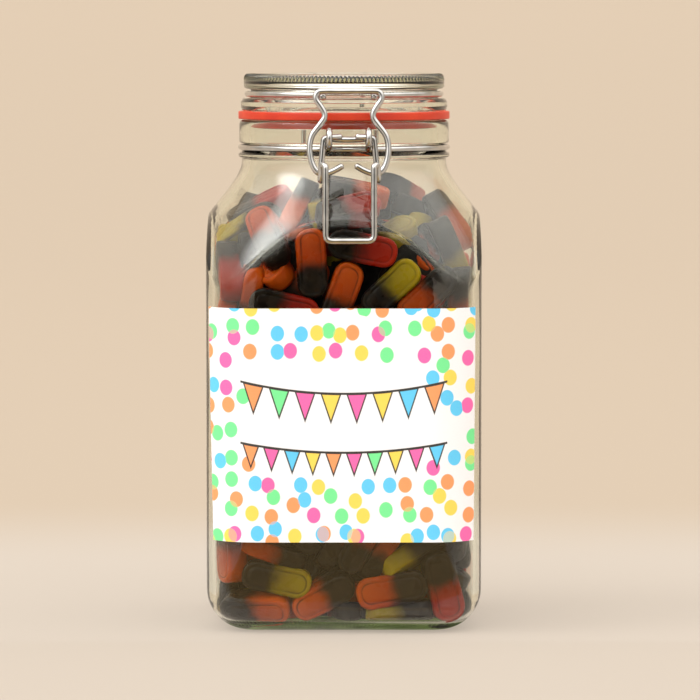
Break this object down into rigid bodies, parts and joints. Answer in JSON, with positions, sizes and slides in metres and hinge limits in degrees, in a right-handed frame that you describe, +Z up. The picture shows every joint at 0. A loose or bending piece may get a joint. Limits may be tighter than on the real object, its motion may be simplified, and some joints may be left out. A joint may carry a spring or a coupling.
{
  "type": "clip-top jar of liquorice sweets",
  "caption": "Square glass storage jar with a hinged clip-top lid on a rubber seal, filled with two-coloured liquorice gums, with a dotted paper label round its front.",
  "frame": {"origin": "middle of the flat underside, on the surface the jar stands on", "axes": "+Z up along the jar's axis, the clip and the label face -Y, +X to the right as seen from the front"},
  "size_m": [0.113, 0.1166, 0.228],
  "materials": {
    "jar_glass": "clear pressed glass with a faint green-grey tint where it is thick",
    "lid_glass": "clear pressed glass with a knurled top edge",
    "seal": "orange-red rubber, satin",
    "wire": "bright drawn steel wire",
    "paper": "white coated paper with coloured dots",
    "sweets": "soft gums, half dark liquorice and half red, orange or yellow-green fruit gum, lightly oiled"
  },
  "bodies": {
    "jar": {"jar_glass": "jar_glass", "neck_wire": "wire", "label": "paper", "sweets": "sweets"},
    "lid": {"lid_glass": "lid_glass", "seal_ring": "seal", "lid_wire": "wire"},
    "lever": {"lever": "wire"},
    "yoke": {"yoke": "wire"}
  },
  "joints": [
    {"name": "lid_hinge", "type": "hinge", "parent": "jar", "child": "lid", "pos_m": [-0.00201, 0.04796, 0.208], "axis": [-0.9991, -0.0419, 0], "range_deg": [0, 110]},
    {"name": "lever_swing", "type": "hinge", "parent": "jar", "child": "lever", "pos_m": [0.00203, -0.04856, 0.202], "axis": [-0.9991, -0.0419, 0], "range_deg": [0, 120]},
    {"name": "yoke_swing", "type": "hinge", "parent": "lever", "child": "yoke", "pos_m": [0.00218, -0.05205, 0.1879], "axis": [0.9991, 0.0419, 0], "range_deg": [0, 150]}
  ],
  "couplings": [
    {"joint": "yoke_swing", "follows": "lever_swing", "ratio": 1.2}
  ]
}
